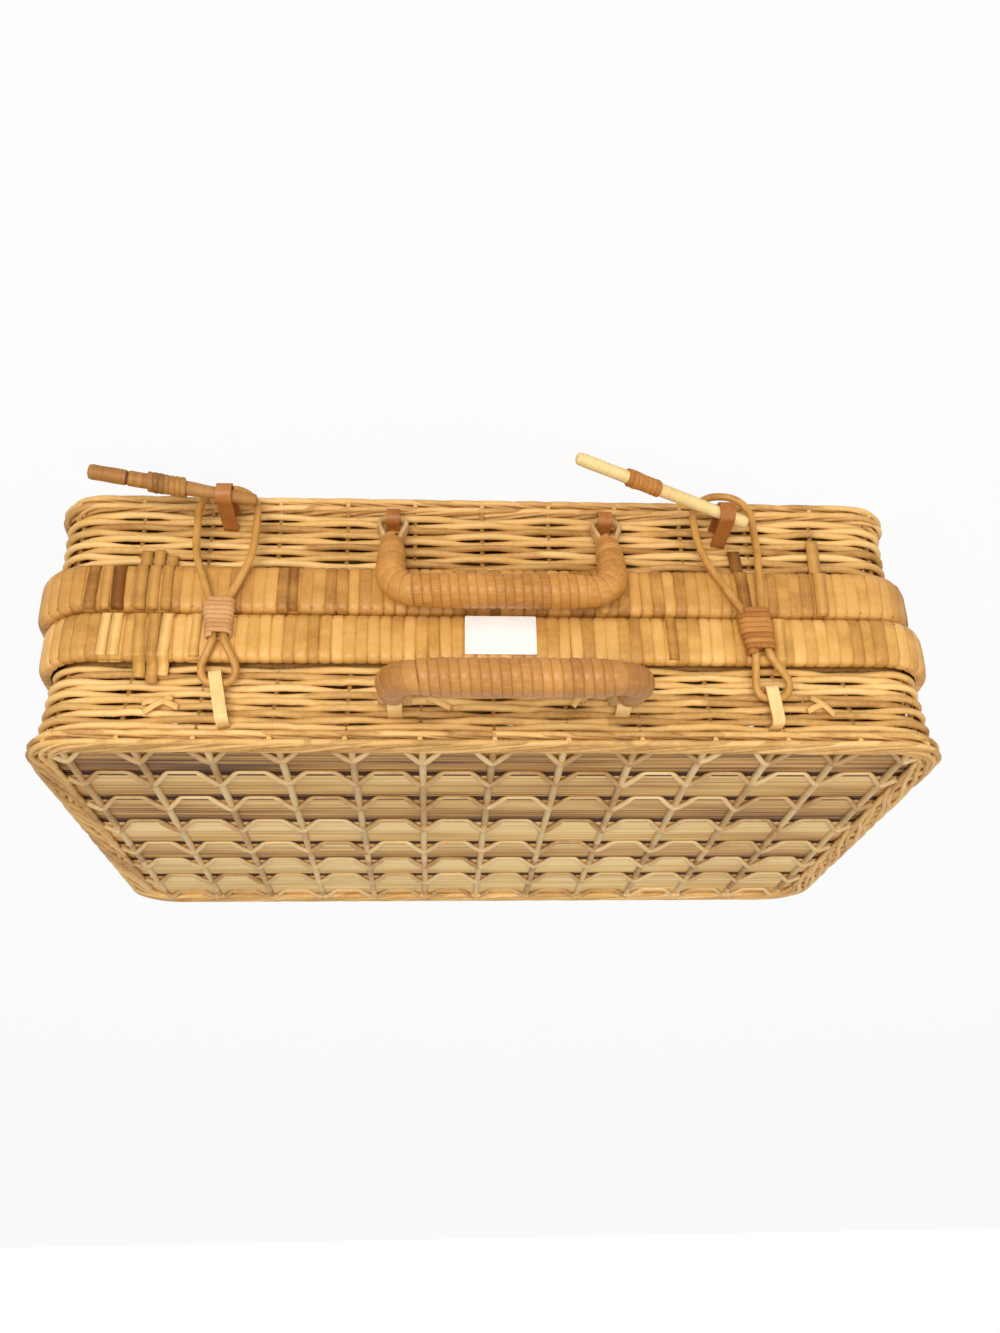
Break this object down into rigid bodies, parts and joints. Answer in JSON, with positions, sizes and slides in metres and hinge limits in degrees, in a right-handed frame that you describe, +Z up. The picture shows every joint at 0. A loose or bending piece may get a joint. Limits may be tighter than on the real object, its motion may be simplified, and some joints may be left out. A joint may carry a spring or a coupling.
{
  "type": "wicker picnic basket",
  "caption": "Wicker picnic case with a hinged lid, cane-wrapped rims, slatted faces, bound carrying handles, and cane hasps held by wooden pegs.",
  "frame": {"origin": "centre of the base's underside, midway along and across the base's woven wall", "axes": "+X along the case, to the right seen from the handle side; +Y from the handle side to the hinge side; +Z up from the base to the lid"},
  "size_m": [0.4543, 0.3578, 0.1401],
  "materials": {
    "weave": "woven peeled willow, satin",
    "border_weave": "woven peeled willow, satin",
    "slat_wood": "split wood, satin",
    "stake_cane": "peeled cane, satin",
    "rim_cane": "flat cane binding, glossy",
    "hoop_wood": "split wood",
    "handle_cane": "flat cane binding, glossy",
    "strap_cane": "flat cane, glossy",
    "hasp_cane": "bent cane, glossy",
    "binding_cane": "thin split cane",
    "bark_peg": "willow with its bark on",
    "peeled_peg": "peeled willow",
    "paper": "matte paper"
  },
  "bodies": {
    "base": {"base_wall": "weave", "base_border": "border_weave", "base_slats": "slat_wood", "base_stakes": "stake_cane", "base_twining": "stake_cane", "base_rim_wrap": "rim_cane", "base_outer_hoop": "hoop_wood", "base_inner_hoop": "hoop_wood", "base_handle_strap_left": "strap_cane", "base_handle_strap_right": "strap_cane", "base_staple_left": "strap_cane", "base_staple_right": "strap_cane", "base_hinge_bow_left": "hasp_cane", "base_hinge_bow_right": "hasp_cane"},
    "lid": {"lid_wall": "weave", "lid_border": "border_weave", "lid_slats": "slat_wood", "lid_stakes": "stake_cane", "lid_twining": "stake_cane", "lid_rim_wrap": "rim_cane", "lid_outer_hoop": "hoop_wood", "lid_inner_hoop": "hoop_wood", "lid_handle_strap_left": "strap_cane", "lid_handle_strap_right": "strap_cane", "lid_staple_left": "strap_cane", "lid_staple_right": "strap_cane", "lid_hinge_strap_left": "strap_cane", "lid_hinge_strap_right": "strap_cane", "rim_label": "paper", "lid_ties": "binding_cane"},
    "hasp_left": {"hasp_left": "hasp_cane", "hasp_left_binding": "binding_cane"},
    "hasp_right": {"hasp_right": "hasp_cane", "hasp_right_binding": "binding_cane"},
    "peg_left": {"peg_left": "bark_peg", "peg_left_binding": "binding_cane"},
    "peg_right": {"peg_right": "peeled_peg", "peg_right_binding": "binding_cane"},
    "base_handle": {"base_handle": "handle_cane", "base_handle_wrap": "handle_cane"},
    "lid_handle": {"lid_handle": "handle_cane", "lid_handle_wrap": "handle_cane"}
  },
  "joints": [
    {"name": "lid_hinge", "type": "hinge", "parent": "base", "child": "lid", "pos_m": [0, 0.1491, 0.0704], "axis": [-1, 0, 0], "range_deg": [0, 180]},
    {"name": "hasp_left_swing", "type": "hinge", "parent": "lid", "child": "hasp_left", "pos_m": [0.1269, -0.1426, 0.109], "axis": [1, 0, 0], "range_deg": [-130, 0]},
    {"name": "hasp_right_swing", "type": "hinge", "parent": "lid", "child": "hasp_right", "pos_m": [-0.1398, -0.1426, 0.1152], "axis": [1, 0, 0], "range_deg": [-130, 0]},
    {"name": "peg_left_slide", "type": "slide", "parent": "base", "child": "peg_left", "axis": [0.9787, -0.1975, -0.0568], "range_m": [0, 0.045]},
    {"name": "peg_right_slide", "type": "slide", "parent": "base", "child": "peg_right", "axis": [0.914, -0.3921, -0.1046], "range_m": [0, 0.045]},
    {"name": "base_handle_swing", "type": "hinge", "parent": "base", "child": "base_handle", "pos_m": [-0.0086, -0.143, 0.0145], "axis": [1, 0, 0], "range_deg": [0, 52]},
    {"name": "lid_handle_swing", "type": "hinge", "parent": "lid", "child": "lid_handle", "pos_m": [-0.0116, -0.143, 0.1185], "axis": [1, 0, 0], "range_deg": [-68, 60]}
  ]
}
